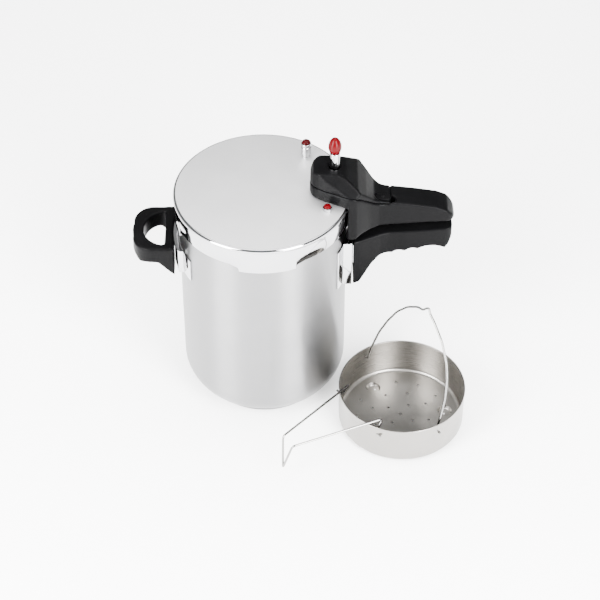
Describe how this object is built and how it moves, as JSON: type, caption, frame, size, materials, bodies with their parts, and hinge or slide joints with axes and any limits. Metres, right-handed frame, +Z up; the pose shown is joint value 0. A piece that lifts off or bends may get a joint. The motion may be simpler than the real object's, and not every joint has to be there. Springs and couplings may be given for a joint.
{
  "type": "stovetop pressure cooker",
  "caption": "Tall stovetop pressure cooker with a bayonet lid, long double handle, helper handle, lid valves and a wire-handled steamer basket.",
  "frame": {"origin": "centre of the pot's underside, on the surface it stands on", "axes": "+Z up along the pot's axis; +X along the two long handles; the steamer basket stands on the -Y side"},
  "size_m": [0.4443, 0.3245, 0.4181],
  "materials": {
    "aluminium": "sawn",
    "basket_steel": "brushed stainless steel",
    "black_phenolic": "matt moulded phenolic",
    "black_rubber": "soft",
    "chrome": "polished",
    "lid_steel": "satin plate with a polished rolled rim",
    "red_plastic": "glossy",
    "satin_steel": "satin brushed stainless steel",
    "silicone": "soft",
    "wire": "drawn stainless wire",
    "zinc": "zinc plated"
  },
  "bodies": {
    "pot": {"pot_shell": "satin_steel", "base_disc": "aluminium", "base_cap": "satin_steel", "helper_bracket": "satin_steel", "helper_ferrule": "chrome", "helper_handle": "black_phenolic", "helper_screws": "zinc", "handle_bracket": "satin_steel", "handle_ferrule": "chrome", "pot_handle": "black_phenolic", "handle_screws": "zinc"},
    "seal": {"gasket": "silicone"},
    "lid": {"lid": "lid_steel", "lid_studs": "zinc", "stud_screws": "zinc", "lid_handle_base": "black_phenolic", "lid_handle_cover": "black_phenolic", "cover_screws": "zinc", "vent_pipe": "chrome", "vent_nut": "chrome", "valve_seals": "black_rubber", "safety_valve_body": "chrome", "safety_plug": "chrome", "safety_nut": "chrome", "safety_spring": "zinc", "indicator_guide": "chrome", "indicator_nut": "chrome", "lock_spring": "zinc"},
    "regulator": {"regulator_weight": "chrome", "regulator_knob": "red_plastic"},
    "safety_plunger": {"safety_cap": "red_plastic"},
    "indicator": {"indicator_pin": "red_plastic"},
    "lock": {"lock_button": "black_phenolic", "lock_bolt": "zinc"},
    "basket": {"basket": "basket_steel"},
    "bail": {"basket_bail": "wire"},
    "lifter": {"basket_lifter": "wire"}
  },
  "joints": [
    {"name": "lid_lift", "type": "slide", "parent": "pot", "child": "seal", "axis": [0, 0, 1], "range_m": [0, 0.066]},
    {"name": "lid_turn", "type": "hinge", "parent": "seal", "child": "lid", "pos_m": [0, 0, 0.33], "axis": [0, 0, 1], "range_deg": [0, 40]},
    {"name": "regulator_lift", "type": "slide", "parent": "lid", "child": "regulator", "axis": [0, 0, 1], "range_m": [0, 0.006]},
    {"name": "safety_lift", "type": "slide", "parent": "lid", "child": "safety_plunger", "axis": [0, 0, 1], "range_m": [0, 0.003], "stiffness_N_per_m": 600, "springref_m": -0.004, "deforming": ["safety_spring"]},
    {"name": "indicator_lift", "type": "slide", "parent": "lid", "child": "indicator", "axis": [0, 0, 1], "range_m": [0, 0.003]},
    {"name": "lock_slide", "type": "slide", "parent": "lid", "child": "lock", "axis": [1, 0, 0], "range_m": [0, 0.006], "stiffness_N_per_m": 300, "springref_m": -0.004, "deforming": ["lock_spring"]},
    {"name": "basket_lift", "type": "slide", "parent": "pot", "child": "basket", "axis": [0, 0, 1], "range_m": [0, 0.12]},
    {"name": "bail_swing", "type": "hinge", "parent": "basket", "child": "bail", "pos_m": [0.187, -0.094, 0.046], "axis": [0.5592, -0.829, 0], "range_deg": [0, 60]},
    {"name": "lifter_swing", "type": "hinge", "parent": "basket", "child": "lifter", "pos_m": [0.12772, -0.13398, 0.05], "axis": [-0.5592, 0.829, 0], "range_deg": [0, 120]}
  ]
}
